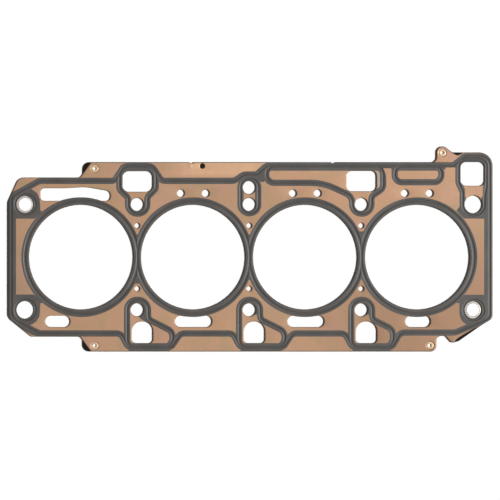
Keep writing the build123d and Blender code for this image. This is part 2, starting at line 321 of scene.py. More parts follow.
closed_lines = [smooth_line(corners) for corners in CLOSED_LINES]
open_lines = [smooth_line(corners, closed=False) for corners in OPEN_LINES]
print("points on the bead lines:", sum(len(line) for line in closed_lines + open_lines))

# %% [markdown]
# ## The printed fields
# The sealing coat is screen-printed. Most of it is a band that follows a bead, but where bands run
# close together the printer fills the gap, and a few windows stay bare. These fields could be
# painted on an image, but a polygon stays sharp at any distance.

# %% Fields round the bolts and along the edges
FIELDS = {
    "upper left bolt": [
        (-188, 30.9), (-172.3, 30.9), (-166.2, 36.9), (-167.8, 37.3), (-168, 42), (-168.4, 47),
        (-170.5, 51.5), (-174.5, 54.4), (-181, 57), (-190, 52), (-190, 30.9),
    ],
    "lower left bolt": [
        (-189, -30), (-173.0, -30), (-166.2, -36.6), (-168, -37.2), (-168, -42), (-168.6, -47.5),
        (-171, -51.5), (-174.5, -54), (-182, -56), (-190, -50),
    ],
    "lower left diagonal": [
        (-190, -49), (-189.5, -52.4), (-182, -58.1), (-174.3, -62.5), (-169.5, -63.9), (-165, -60),
        (-178, -54),
    ],
    "upper right bolt": [
        (169.2, 46), (168.9, 41.0), (166.2, 37.3), (172.2, 31), (191, 30.8), (191, 46),
    ],
    "lower right bolt": [
        (172.8, -30.2), (191, -30.2), (191, -50), (183, -54), (174, -54), (171, -51.5),
        (169.3, -48.5), (168.6, -45), (168.6, -37), (166.2, -36.8),
    ],
    "beside the first drain": [
        (-89, -47.3), (-87.4, -49.5), (-84.5, -51.2), (-80.5, -52.4), (-78, -50), (-82, -44),
        (-87, -44),
    ],
    "over the feed": [(0, 66), (13, 68), (12, 60.5), (9, 60.3), (7, 62)],
    "left of the feed": [(-10, 59.5), (-7, 62), (-5, 66), (-12, 64)],
    "over the first passage": [
        (-102, 66), (-78, 66), (-78, 73), (-82, 76), (-97.5, 76), (-102, 73),
    ],
    "upper rail": [(13, 69.4), (152, 69.4), (157.3, 71.8), (157.3, 76.35), (13, 76.35)],
    "upper rail end": [(157.3, 72), (166, 72), (166, 76.3), (157.3, 76.35)],
    "left edge": [(-194, -46), (-187.4, -46), (-187.4, 46), (-194, 46)],
    "right edge": [(188.5, -31), (194, -31), (194, 31), (188.5, 31)],
}
print("fields round the bolts and along the edges:", len(FIELDS))

# %% Fields in the webs and at the drains, and the bare windows
FIELDS |= {
    "web 1 top": [(-93, 13), (-87, 13), (-89, 18.2), (-91, 18.2)],
    "web 2 top": [(-3, 13), (3, 13), (1.1, 18.3), (-1.1, 18.3)],
    "web 3 top": [(86, 13), (94, 13), (91.9, 20.7), (88.1, 20.7)],
    "web 1 bottom": [(-94, -13), (-86, -13), (-87.9, -21.3), (-92.1, -21.3)],
    "web 2 bottom": [(-3, -13), (3, -13), (1.1, -18.2), (-1.1, -18.2)],
    "web 3 bottom": [(87, -13), (93, -13), (91.0, -18.0), (89.0, -18.0)],
}
RAIL_REACH = {1: 26, 2: 26, 3: 23}  # of the field below a drain, right of its bolt
for column, reach in RAIL_REACH.items():
    bolt = COLUMNS[column]
    FIELDS[f"drain rail {column}"] = [(bolt - 7, -75.3), (bolt + reach, -75.3),
                                      (bolt + reach, -69.05), (bolt - 7, -69.05)]
    FIELDS[f"drain bolt {column}"] = [(bolt + 2.5, -37), (bolt + 6.5, -37),
                                      (bolt + 6.5, -46), (bolt + 3.4, -46.4)]
WINDOWS = {
    "between passage and bolt": [
        (173, 57), (173.2, 49), (174.4, 46.5), (185.6, 46.5), (187.2, 49), (187.6, 57),
    ],
    "right of the second channel": [(157.6, 60), (165, 60), (165, 72), (157.6, 72)],
    "between passage and channel": [
        (107.6, 71.3), (108.6, 69.2), (109.6, 66.5), (110.2, 62), (114, 62), (114, 71.3),
    ],
}
print("printed fields:", len(FIELDS), "bare windows:", len(WINDOWS))

# %% [markdown]
# ## Helpers for finishes
# Each finish starts from a base colour and lays tints over it, where noise, a place on the piece or
# a value stored on its points says so. Patterns use Object coordinates, so they stay on the metal.

# %% Colours and empty finishes
def shade(red, green, blue):
    """A screen colour from 0 to 255 as the light that Blender counts in."""
    def lit(value):
        value /= 255
        return value / 12.92 if value <= 0.04045 else ((value + 0.055) / 1.055) ** 2.4
    return (lit(red), lit(green), lit(blue), 1.0)


def new_finish(name):
    """An empty material and its net."""
    material = bpy.data.materials.new(name)
    material.use_nodes = True
    material.node_tree.nodes.clear()
    return material, Net(material.node_tree)


def surfaced(material, net, sockets):
    """The material with its Principled node fed and joined to the output."""
    surface = net.add("ShaderNodeBsdfPrincipled", {}, sockets)
    net.add("ShaderNodeOutputMaterial", {}, {"Surface": surface})
    return material


print("mid grey is", [round(v, 3) for v in shade(128, 128, 128)[:3]])

# %% Patterns and tints
def noise(net, scale, detail=2.0, roughness=0.5, stretch=(1.0, 1.0, 1.0), shift=(0.0, 0.0, 0.0)):
    """Noise over the piece, in waves per metre. A small stretch draws it out along that axis."""
    where = net.add("ShaderNodeTexCoord", out="Object")
    where = net.add("ShaderNodeMapping", {}, {"Vector": where, "Location": shift, "Scale": stretch})
    return net.add("ShaderNodeTexNoise", {},
                   {"Vector": where, "Scale": scale, "Detail": detail, "Roughness": roughness})


def place(net):
    """The place on the piece, in millimetres: x and y."""
    where = net.add("ShaderNodeTexCoord", out="Object")
    where = net.add("ShaderNodeSeparateXYZ", {}, {0: where})
    return where * (1 / MM), where.also("Y") * (1 / MM)


def stored(net, name):
    """A value that the press stored on every point of a sheet."""
    return net.add("ShaderNodeAttribute", {"attribute_name": name}, out="Fac")


def tinted(net, colour, pattern, start, full, share, tint):
    """A tint over a colour: none where the pattern is at start, and its full share at full."""
    return net.mix(net.soft_step(pattern, start, full, 0.0, share), colour, shade(*tint))


def bump(net, height, strength, depth_mm):
    return net.add("ShaderNodeBump", {},
                   {"Height": height, "Strength": strength, "Distance": depth_mm * MM})


print("helpers for patterns ready")

# %% [markdown]
# ## The lacquer
# Spring steel for gaskets is dipped in a thin brown lacquer. Small differences in its thickness and
# baking show as warm, pinkish and slightly green patches. Broad noise mixes these tints, and a very
# fine grain keeps them from looking like plastic. The stored value "rim" darkens the rolled rims as
# painted shade, and more so along the rails.

# %% Bronze lacquer
def lacquer_patches(net, x, y):
    """The broad tints of the lacquer: noise patches, and zones lighter or darker by place."""
    warm = noise(net, 14, 2.0, shift=(0.31, 0.12, 0.0))
    pink = noise(net, 52, 3.0, shift=(3.1, 0.7, 0.0))
    olive = noise(net, 58, 3.0, shift=(1.7, 0.4, 0.0))
    colour = tinted(net, shade(193, 153, 120), warm, 0.38, 0.66, 1.0, (204, 158, 124))
    colour = tinted(net, colour, pink, 0.50, 0.72, 0.7, (200, 154, 134))
    colour = tinted(net, colour, olive, 0.50, 0.72, 0.6, (176, 154, 116))
    rail = net.between(x, (-75.0, -40.0), (0.0, 22.0)) * net.soft_step(y, 62.0, 68.0)
    colour = net.mix(rail * 0.85, colour, shade(232, 185, 145))
    low_end = net.soft_step(x, 10.0, 120.0) * net.soft_step(y, -40.0, 60.0, 1.0, 0.0)
    colour = net.mix(low_end * 0.75, colour, shade(164, 126, 98))
    left_end = net.soft_step(x, -188.0, -165.0, 0.4, 0.0) * net.soft_step(y, -20.0, 50.0, 1.0, 0.1)
    return net.mix(left_end, colour, shade(158, 136, 116))


def bronze_lacquer():
    material, net = new_finish("bronze_lacquer")
    x, y = place(net)
    fine = noise(net, 260, 3.0, 0.6)
    grain = noise(net, 2600, 2.0, 0.7)
    colour = lacquer_patches(net, x, y)
    colour = tinted(net, colour, fine, 0.35, 0.75, 0.16, (156, 126, 100))
    colour = tinted(net, colour, grain, 0.3, 0.7, 0.12, (130, 104, 84))
    worn = net.between(x, (101.8, 102.6), (105.6, 106.4)) * net.soft_step(y, 50.0, 56.0)
    colour = net.mix(worn * 0.8, colour, shade(180, 170, 158))
    # painted shade: the lacquer darkens towards every rim, standing in for the shade on the rolled
    # rims
    rim_shade = stored(net, "rim")
    colour = tinted(net, colour, rim_shade, 0.15, 0.75, 0.65, (96, 78, 64))
    # painted shade: a darker line along the rims of the upper and lower rails
    rails = net.soft_step(y, 75.0, 75.5).bigger(net.soft_step(y, -75.0, -74.5, 1.0, 0.0))
    colour = net.mix(net.soft_step(rim_shade, 0.05, 0.5) * rails * 0.9, colour, shade(74, 62, 52))
    return surfaced(material, net, {
        "Base Color": colour, "Roughness": 0.46 + (fine - 0.5) * 0.14 + (grain - 0.5) * 0.12,
        "Metallic": 0.25, "Normal": bump(net, grain * 0.6 + fine * 0.4, 0.12, 0.05)})


LACQUER = bronze_lacquer()
print("made", LACQUER.name)

# %% [markdown]
# ## The sealing coat
# The coat is a dark, matt elastomer, slightly mottled where the screen left more or less of it. A
# medium and a fine noise vary its tone and roughness. The stored value "relief" darkens it in the
# grooves as painted shade. Painted shade also darkens its left end, painted light makes it paler
# towards the right end, and a pale strip runs along the rim at the right and top edges, a painted
# highlight at the right edge.

# %% Printed sealing coat
def sealing_coat():
    material, net = new_finish("printed_sealing_coat")
    x, y = place(net)
    mottle = noise(net, 60, 3.0)
    fine = noise(net, 900, 2.0, 0.6)
    speck = noise(net, 3600, 1.0)
    colour = tinted(net, shade(80, 77, 74), mottle, 0.35, 0.68, 1.0, (88, 84, 81))
    # painted shade: the coat darkens towards the left end, where the light falls off; the same mask
    # makes it rougher
    left_end = net.soft_step(x, -195.0, -187.0, 1.0, 0.0)
    colour = net.mix(left_end * 0.9, colour, shade(44, 44, 42))
    # painted light: the coat turns paler towards the right end, on the lamp's side
    colour = tinted(net, colour, x, 190.0, 196.0, 0.5, (104, 99, 94))
    # painted highlight: a pale strip along the rim at the right edge, where the edge catches the
    # lamp; the same pale strip runs along the top edge
    outside = net.soft_step(x, 193.5, 194.5).bigger(net.soft_step(y, 82.6, 83.2))
    pale_rim_strip = net.soft_step(stored(net, "rim"), 0.0, 0.6) * outside
    colour = net.mix(pale_rim_strip * 0.8, colour, shade(150, 144, 132))
    colour = tinted(net, colour, fine, 0.35, 0.7, 0.22, (62, 60, 58))
    colour = tinted(net, colour, speck, 0.62, 0.75, 0.2, (130, 122, 116))
    # painted shade: the coat is darker in the grooves, following the stored relief
    colour = tinted(net, colour, stored(net, "relief"), 0.02, 0.5, 0.3, (56, 54, 53))
    return surfaced(material, net, {
        "Base Color": colour, "Roughness": 0.52 + left_end * 0.3 + (fine - 0.5) * 0.2,
        "Normal": bump(net, fine * 0.7 + speck * 0.3, 0.18, 0.05)})


COAT = sealing_coat()
print("made", COAT.name)

# %% [markdown]
# ## The bare and coated steels
# Five more: steel where a sheet was cut, the black coated carrier, the bright stopper rings, the
# zinc-brown rivets, and spring steel that the lacquer was kept off. Cut steel shows fine upright
# lines from the punch, so its noise is stretched along Z. Ground or brushed steel has them along X.

# %% Cut steel and the black carrier
def cut_steel():
    material, net = new_finish("cut_steel_edge")
    streak = noise(net, 700, 2.0, stretch=(1.0, 1.0, 0.08))
    colour = tinted(net, shade(128, 104, 86), streak, 0.3, 0.7, 1.0, (176, 150, 128))
    return surfaced(material, net, {
        "Base Color": colour, "Roughness": 0.38 + streak * 0.2, "Metallic": 0.7})


def black_coating():
    material, net = new_finish("black_carrier_coating")
    mottle = noise(net, 120, 3.0)
    grain = noise(net, 2200, 2.0, 0.7)
    colour = tinted(net, shade(22, 15, 10), mottle, 0.35, 0.7, 1.0, (32, 22, 15))
    colour = tinted(net, colour, grain, 0.35, 0.75, 0.3, (16, 12, 9))
    return surfaced(material, net, {
        "Base Color": colour, "Roughness": 0.62 + (grain - 0.5) * 0.2,
        "Specular IOR Level": 0.15, "Normal": bump(net, grain, 0.15, 0.05)})


EDGE, BLACK = cut_steel(), black_coating()
print("made", EDGE.name, "and", BLACK.name)

# %% Stopper rings, rivets and bare spring steel
def stopper_steel():
    material, net = new_finish("stopper_steel")
    brushed = noise(net, 900, 3.0, stretch=(0.1, 1.0, 1.0))
    return surfaced(material, net, {
        "Base Color": net.mix(brushed, shade(150, 148, 144), shade(186, 184, 180)),
        "Roughness": 0.28 + brushed * 0.2, "Metallic": 1.0})


def rivet_finish():
    material, net = new_finish("rivet_steel")
    worn = noise(net, 420, 3.0, 0.6)
    grain = noise(net, 2600, 2.0)
    colour = tinted(net, shade(226, 198, 164), worn, 0.35, 0.7, 1.0, (244, 222, 192))
    colour = tinted(net, colour, grain, 0.45, 0.8, 0.35, (190, 150, 112))
    return surfaced(material, net, {
        "Base Color": colour, "Roughness": 0.34 + (worn - 0.5) * 0.2, "Metallic": 0.3,
        "Normal": bump(net, grain, 0.1, 0.04)})


def bare_spring_steel():
    material, net = new_finish("bare_spring_steel")
    ground = noise(net, 1400, 3.0, stretch=(0.15, 1.0, 1.0))
    colour = tinted(net, shade(186, 179, 170), ground, 0.3, 0.7, 1.0, (216, 209, 200))
    return surfaced(material, net, {
        "Base Color": colour, "Roughness": 0.36 + ground * 0.2, "Metallic": 0.3})


BRIGHT, RIVET, BARE = stopper_steel(), rivet_finish(), bare_spring_steel()
print("made", [finish.name for finish in (BRIGHT, RIVET, BARE)])

# %% [markdown]
# ## Guides for the press
# The sheets are shaped by distance: how far a point is from the nearest bead line says how deep it
# is pressed and whether it is printed. So the bead lines, bore edges, rivet centres and printed
# fields become small helper meshes, which go when the sheets are done.

# %% Meshes from lines, faces and points
def link(obj):
    bpy.context.scene.collection.objects.link(obj)
    return obj


def add_chain(places, edges, points, closed):
    """Adds a chain of points, and the edges that join each to the next."""
    first = len(places)
    places += points
    edges += [(first + k, first + k + 1) for k in range(len(points) - 1)]
    if closed:
        edges.append((len(places) - 1, first))


def helper_mesh(lines=(), closed=True, faces=(), points=()):
    """A mesh of edges, of flat faces or of lone points, from millimetres."""
    places, edges, polygons = [], [], []
    for line in lines:
        add_chain(places, edges, [tuple(point) for point in line], closed)
    for face in faces:
        polygons.append(list(range(len(places), len(places) + len(face))))
        places += face
    places += points
    mesh = bpy.data.meshes.new("helper")
    mesh.from_pydata([(place[0] * MM, place[1] * MM, 0.0) for place in places], edges, polygons)
    return mesh


def guide(name, *meshes):
    """One helper object from several meshes."""
    work = bmesh.new()
    for mesh in meshes:
        work.from_mesh(mesh)
        bpy.data.meshes.remove(mesh)
    bmesh.ops.triangulate(work, faces=work.faces)
    joined = bpy.data.meshes.new(name)
    work.to_mesh(joined)
    work.free()
    return link(bpy.data.objects.new(name, joined))


print("mesh helpers ready")

# %% Guide meshes
BORE_GUIDE_STEP = 0.5  # degrees between the points of a bore's edge

loops = [beside(line, 0) for line in closed_lines] + [circle(centre, RING_R) for centre in RINGS]
ends_open = [beside(line, 0) for line in open_lines]
bore_edges = [circle((x, 0), BORE_R, BORE_GUIDE_STEP) for x in BORES]
GUIDES = {
    "Bead lines": guide("bead_lines", helper_mesh(loops), helper_mesh(ends_open, closed=False)),
    "Bore edges": guide("bore_edges", helper_mesh(bore_edges)),
    "Rivet centres": guide("rivet_centres", helper_mesh(points=RIVETS)),
    "Ledge centres": guide("ledge_centres", helper_mesh(points=LEDGES)),
    "Nub": guide("nub", helper_mesh(points=[NUB])),
    "Printed fields": guide("printed_fields", helper_mesh(faces=list(FIELDS.values()))),
    "Bare windows": guide("bare_windows", helper_mesh(faces=list(WINDOWS.values()))),
}
print("guides:", {name: len(obj.data.vertices) for name, obj in GUIDES.items()})

# %% [markdown]
# ## The sheet's rim
# The edge and the openings come from the CAD sheet, so both models agree: from its upright faces,
# at the level of its outer face. A point is on the sheet when a ray from it crosses the rim an odd
# number of times. The rolled rim needs lines a little way in from it.

# %% Rim of a CAD sheet
UPRIGHT = 0.1  # a face whose normal rises less is upright
ON_LEVEL = 0.01  # mm within which a corner is at a level
BATCH = 256  # rim runs tested at a time


def rim_of(node, level):
    """The edge lines of a CAD sheet at one level, from its upright faces, in millimetres."""
    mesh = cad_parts[node].data
    corners = np.array([vertex.co for vertex in mesh.vertices]) / MM
    runs = []
    for polygon in mesh.polygons:
        if abs(polygon.normal.z) > UPRIGHT:
            continue
        at_level = [i for i in polygon.vertices if abs(corners[i][2] - level) < ON_LEVEL]
        if len(at_level) == 2:
            runs.append(tuple(tuple(np.round(corners[i][:2], 5)) for i in at_level))
    return runs


def inside(points, runs):
    """True for each point that a ray to the right leaves through an odd number of rim runs."""
    crossings = np.zeros(len(points), int)
    x, y = points[:, :1], points[:, 1:]
    for k in range(0, len(runs), BATCH):
        x0, y0, x1, y1 = (runs[k:k + BATCH, i // 2, i % 2][None, :] for i in range(4))
        straddles = (y0 <= y) != (y1 <= y)
        with np.errstate(divide="ignore", invalid="ignore"):
            reach = x0 + (y - y0) * (x1 - x0) / (y1 - y0)
        crossings += (straddles & (reach > x)).sum(1)
    return crossings % 2 == 1


upper_rim_runs, lower_rim_runs = rim_of("top_layer", STACK), rim_of("bottom_layer", 0.0)
print("rim runs, upper and lower:", len(upper_rim_runs), len(lower_rim_runs))

# %% Lines beside the rim
A_HAIR = 0.03  # mm beside a run, to see which side is metal
SHARPEST = 0.5  # keeps a line beside a sharp corner near it


def inset(runs, distances):
    """Runs beside the rim, on the sheet's side of it."""
    normals = {}
    for a, b in runs:
        along = np.subtract(b, a) / np.linalg.norm(np.subtract(b, a))
        across = np.array((-along[1], along[0]))
        middle = (np.add(a, b) / 2 + across * A_HAIR)[None, :]
        across *= 1 if inside(middle, np.array(runs))[0] else -1
        for end in (a, b):
            normals.setdefault(end, []).append(across)
    turned = {}
    for end, across in normals.items():
        mean = sum(across) / len(across)
        turned[end] = mean / max(SHARPEST, float(mean @ mean))
    return [(tuple(a + turned[a] * d), tuple(b + turned[b] * d))
            for d in distances for a, b in runs]


ROLL_LINES = (0.28, 0.55, ROLL)  # inwards from every rim
print("lines beside the rim, mm inwards:", ROLL_LINES)

# %% [markdown]
# ## The flat blanks
# A blank needs points exactly where the press will bend it, or the grooves come out ragged. So
# lines parallel to every bead are laid inside its rim, and a constrained triangulation joins them
# into one flat mesh, from which the holes are dropped. A grid as clean would need far more faces.

# %% Lines that the press and the print need
SEAL_LINES = (0.0, 0.3, 0.5, 0.72, 0.94, 1.15, 1.35, BAND_HALF)  # beside a seal bead
FIRE_LINES = (1.75, 1.95, 2.2, 2.45, 2.7, 2.95, 3.4,
              3.85, 4.1, 4.35, 4.6, 4.85, 5.05, BORE_BAND)  # from a bore's edge
SEAT_LINES = (RIVET_HOLE_R, SEAT_FLAT, 3.33, 3.47, SEAT_EDGE, 3.8)  # round a rivet's centre
NUB_LINES = (0.5, 0.9, 1.3, 1.7, NUB_R)
BORE_STEP, RIVET_STEP, NUB_STEP, LEDGE_STEP = 1.5, 10, 15, 6  # degrees on a circle


def bending_lines(rim, trimmed, more):
    """Every chain of points that a blank needs, each with True if it is closed."""
    chains = [(list(run), False) for run in rim + inset(rim, ROLL_LINES)]
    chains += [(points, True) for points in more]
    if trimmed:
        across_x, across_y = TRIM_INWARD
        chains += [([(x + across_x * d, y + across_y * d) for x, y in trimmed], False)
                   for d in (0.0, *ROLL_LINES)]
    for side in (1, -1):
        for distance in SEAL_LINES[0 if side > 0 else 1:]:
            chains += [(beside(line, side * distance), True) for line in closed_lines]
            chains += [(beside(line, side * distance), False) for line in open_lines]
            chains += [(circle(centre, RING_R + side * distance), True) for centre in RINGS]
    chains += [(circle((x, 0), BORE_R + distance, BORE_STEP), True)
               for x in BORES for distance in FIRE_LINES]
    chains += [(circle(centre, radius, RIVET_STEP), True)
               for centre in RIVETS for radius in SEAT_LINES]
    chains += [(points, True) for points in [*FIELDS.values(), *WINDOWS.values()]]
    # Two bore beads touch up to this far from the middle of a web, along a sharp ridge.
    ridge = ((BORE_R + FIRE_AT + FIRE_MOUTH) ** 2 - (PITCH / 2) ** 2) ** 0.5
    return chains + [([(x, -ridge), (x, ridge)], False) for x in COLUMNS[1:-1]]


nub_circles = [circle(NUB, radius, NUB_STEP) for radius in NUB_LINES]
ledge_circles = [circle(centre, LEDGE_R, LEDGE_STEP) for centre in LEDGES]
print("circles round the nub and the ledges:", len(nub_circles), len(ledge_circles))

# %% Flat blanks
SAME_POINT = 0.002  # mm within which two points become one
CUT_AWAY = (3, 5)  # mm beside and below the trimmed line


def loop_runs(points):
    """The runs of a closed chain, from each point to the next."""
    return list(zip(points, points[1:] + points[:1]))


def metal_only(corners, triangles, rim, trimmed):
    """The triangles inside the rim, outside the rivet holes and above the trimmed line."""
    middles = corners[triangles].mean(1)
    holes = [run for centre in RIVETS
             for run in loop_runs(circle(centre, RIVET_HOLE_R, RIVET_STEP))]
    stays = inside(middles, np.concatenate([np.array(rim), np.array(holes)]))
    if trimmed:
        (left, bottom), right = trimmed[0], trimmed[-1][0]
        beside_it, low_end = CUT_AWAY[0], bottom - CUT_AWAY[1]
        away = [*trimmed, (right + beside_it, low_end), (left - beside_it, low_end)]
        stays &= ~inside(middles, np.array(loop_runs(away)))
    return triangles[stays]


def flat_blank(name, rim, more, trimmed=()):
    """The sheet's flat mesh at height 0, and its rim as a guide for the press."""
    places, edges = [], []
    for points, closed in bending_lines(rim, trimmed, more):
        add_chain(places, edges, [Vector(point) for point in points], closed)
    corners, _, triangles, *_ = delaunay_2d_cdt(places, edges, [], 0, SAME_POINT)
    corners = np.array(corners)
    kept = metal_only(corners, np.array(triangles), rim, trimmed)
    a, b, c = (corners[kept[:, i]] for i in range(3))
    area = ((b - a)[:, 0] * (c - a)[:, 1] - (b - a)[:, 1] * (c - a)[:, 0]) / 2
    kept[area < 0] = kept[area < 0][:, ::-1]
    used, packed = np.unique(kept, return_inverse=True)
    mesh = bpy.data.meshes.new(name)
    mesh.from_pydata([(x * MM, y * MM, 0.0) for x, y in corners[used]], [],
                     packed.reshape(kept.shape).tolist())
    print(name, "triangles", len(kept), "area cm2", round(float(np.abs(area).sum()) / 100, 2))
    rim = rim + list(zip(trimmed, trimmed[1:]))
    return mesh, guide(name + "_rim", helper_mesh(rim, closed=False))


upper_blank, upper_rim = flat_blank("upper_blank", upper_rim_runs, nub_circles, TRIMMED)
lower_blank, lower_rim = flat_blank("lower_blank", lower_rim_runs, ledge_circles)

# %% [markdown]
# ## The press, as a node tree
# A press tool is drawn once for both sheets, and so is this tree. It prints the flat blank, pushes
# the beads in with a smooth flank, and gives the sheet its thickness. Turned over, it makes the
# lower sheet, whose grooves face down.

# %% Inputs of the press
PRESS_FINISHES = {"Lacquer": LACQUER, "Coat": COAT, "Bare steel": BARE, "Edge": EDGE}
PRESS_SIZES = {
    "Mouth": SEAL_MOUTH, "Floor": SEAL_FLOOR, "Seat edge": SEAT_EDGE, "Seat flat": SEAT_FLAT,
    "Bore bead at": FIRE_AT, "Bore bead mouth": FIRE_MOUTH, "Bore bead floor": FIRE_FLOOR,
    "Crest": BEAD, "Groove": GROOVE, "Thickness": SHEET, "Band": BAND_HALF, "Bore band": BORE_BAND,
    "Ledge": LEDGE_R, "Nub radius": NUB_R, "Roll": ROLL,
}
PRESS_INPUTS = {
    "Geometry": ["Blank"], "Object": [*GUIDES, "Rim"], "Material": [*PRESS_FINISHES],
    "Float": [*PRESS_SIZES, "Roll depth", "Nub depth", "Inner level"], "Bool": ["Turned over"],
}


def tree_with(name, inputs):
    """A node tree with named inputs, its net, and a function that gives an input by its name."""
    tree = bpy.data.node_groups.new(name, "GeometryNodeTree")
    for kind, sockets in inputs.items():
        for socket in sockets:
            tree.interface.new_socket(socket, in_out="INPUT", socket_type="NodeSocket" + kind)
    tree.interface.new_socket("Piece", in_out="OUTPUT", socket_type="NodeSocketGeometry")
    net = Net(tree)
    return tree, net, net.add("NodeGroupInput").also


def shape_of(net, helper):
    return net.add("GeometryNodeObjectInfo", {"transform_space": "ORIGINAL"}, {0: helper},
                   out="Geometry")


def distances(net, given):
    """How far each point is from each guide: from its faces, its edges or its points."""
    far = {}
    for name in PRESS_INPUTS["Object"]:
        element = {"Printed fields": "FACES", "Bare windows": "FACES", "Bead lines": "EDGES",
                   "Bore edges": "EDGES", "Rim": "EDGES"}.get(name, "POINTS")
        far[name] = net.add("GeometryNodeProximity", {"target_element": element},
                            {0: shape_of(net, given(name))}, out="Distance")
    return far


print("the press has", sum(map(len, PRESS_INPUTS.values())), "inputs")

# %% [markdown]
# The print comes first, while the blank is flat. A facet is printed when it is near a bead or in a
# field, and neither in a bare window nor in a rivet's seat.

# %% Print on the blank
TOUCHING = 1e-6  # metres from a field that count as inside it


def set_finish(net, sheet, finish, chosen=True):
    return net.add("GeometryNodeSetMaterial", {}, {0: sheet, 1: chosen, 2: finish})


def printed_blank(net, given, far):
    """The blank with its lacquer, coat and bare ledges, turned over where that is asked for."""
    printed = (far["Bead lines"] < given("Band")).bigger(far["Bore edges"] < given("Bore band"))
    printed = printed.bigger(far["Printed fields"] < TOUCHING)
    printed = printed * (far["Bare windows"] > TOUCHING)
    printed = printed * (far["Rivet centres"] > given("Seat edge"))
    sheet = set_finish(net, given("Blank"), given("Lacquer"))
    sheet = set_finish(net, sheet, given("Coat"), printed)
    bare = far["Ledge centres"] < given("Ledge")
    sheet = set_finish(net, sheet, given("Bare steel"), bare)
    flipped = net.add("GeometryNodeFlipFaces", {}, {0: sheet})
    return net.add("GeometryNodeSwitch", {"input_type": "GEOMETRY"},
                   {0: given("Turned over"), 1: sheet, 2: flipped})


print("print ready")

# %% [markdown]
# Then the relief, a share of a bead's height: 1 on a bead's floor, 0 on the flat, and below 0 on
# the nub. Where two grooves meet, the deeper one wins. The relief and the nearness of the rim are
# stored on the points, because the finishes read them too.

# %% Relief
def store(net, sheet, name, value):
    return net.add("GeometryNodeStoreNamedAttribute", {"data_type": "FLOAT", "domain": "POINT"},
                   {0: sheet, 2: name, 3: value})


def with_relief(net, given, sheet, far):
    """The sheet with the values rim and relief stored on its points."""
    def groove(distance, floor, mouth):
        """1 on the floor of a groove, and smoothly down to 0 at its mouth."""
        return net.soft_step(distance, floor, mouth, 1.0, 0.0)

    bore_bead = abs(far["Bore edges"] - given("Bore bead at"))
    relief = groove(far["Bead lines"], given("Floor"), given("Mouth"))
    relief = relief.bigger(groove(bore_bead, given("Bore bead floor"), given("Bore bead mouth")))
    relief = relief.bigger(groove(far["Rivet centres"], given("Seat flat"), given("Seat edge")))
    near = net.add("ShaderNodeMapRange", {"clamp": True},
                   {0: far["Rim"], 1: 0.0, 2: given("Roll"), 3: 1.0, 4: 0.0})
    sheet = store(net, sheet, "rim", near)
    relief = relief.bigger(near * near * given("Roll depth"))
    relief = relief - groove(far["Nub"], 0.0, given("Nub radius")) * given("Nub depth")
    return store(net, sheet, "relief", relief)


print("relief ready")

# %% [markdown]
# Last, the thickness. The inner face is moved by the relief, copied outwards by the thickness, and
# the copy sinks a little further, because a real groove looks deeper than the crest behind it.

# %% The whole press
WELD = 1e-7  # metres within which two points are welded


def upright(net, length):
    return net.add("ShaderNodeCombineXYZ", {}, {"Z": length})


def with_thickness(net, given, sheet):
    """Both faces of the sheet and the cut walls between them."""
    way = 1 - 2 * given("Turned over")
    relief = net.add("GeometryNodeInputNamedAttribute", {"data_type": "FLOAT"}, {0: "relief"})
    height = given("Inner level") - way * relief * given("Crest")
    inner = net.add("GeometryNodeSetPosition", {}, {0: sheet, 3: upright(net, height)})
    thickness = upright(net, way * given("Thickness"))
    outer = net.add("GeometryNodeExtrudeMesh", {"mode": "FACES"},
                    {0: inner, 2: thickness, 4: False})
    further = upright(net, way * relief * (given("Crest") - given("Groove")))
    sunk = net.add("GeometryNodeSetPosition", {}, {0: outer, 1: outer.also("Top"), 3: further})
    back = net.add("GeometryNodeFlipFaces", {}, {0: inner})
    both = net.add("GeometryNodeJoinGeometry", {}, {0: [sunk, back]})
    both = net.add("GeometryNodeMergeByDistance", {}, {0: both, 2: WELD})
    both = net.add("GeometryNodeRealizeInstances", {}, {0: both})
    return set_finish(net, both, given("Edge"), outer.also("Side"))


def press_tree():
    tree, net, given = tree_with("pressed_sheet", PRESS_INPUTS)
    far = distances(net, given)
    sheet = with_relief(net, given, printed_blank(net, given, far), far)
    net.add("NodeGroupOutput", {}, {0: with_thickness(net, given, sheet)})
    return tree


PRESS = press_tree()
print("the press has", len(PRESS.nodes), "nodes")

# %% [markdown]
# ## The two sheets
# A tree runs as a modifier, whose inputs are set by their sockets' identifiers. The result is
# copied to a plain mesh, and the frame is told its body and the CAD piece it replaces.

# %% Run a tree and hand a piece over
CREASE = radians(40.0)  # edges sharper than this stay crisp


def run_tree(name, mesh, tree, values):
    """Runs a tree on a mesh and keeps the result as a plain mesh object."""
    worker = link(bpy.data.objects.new(name + "_worker", mesh))
    modifier = worker.modifiers.new("shape", "NODES")
    modifier.node_group = tree
    for item in tree.interface.items_tree:
        if item.in_out == "INPUT" and item.name in values:
            modifier[item.identifier] = values[item.name]
    bpy.context.view_layer.update()
    shaped = worker.evaluated_get(bpy.context.evaluated_depsgraph_get())
    made = bpy.data.meshes.new_from_object(shaped)
    made.name = name
    bpy.data.objects.remove(worker)
    return link(bpy.data.objects.new(name, made))


def finished(piece, nodes):
    """Smooth shading with crisp edges, and the frame's facts about the piece."""
    for polygon in piece.data.polygons:
        polygon.use_smooth = True
    piece.data.set_sharp_from_angle(angle=CREASE)
    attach(piece, "root")
    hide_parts(*nodes)
    print(piece.name, "faces", len(piece.data.polygons),
          "finishes", [material.name for material in piece.data.materials if material])


print("ready to run a tree")

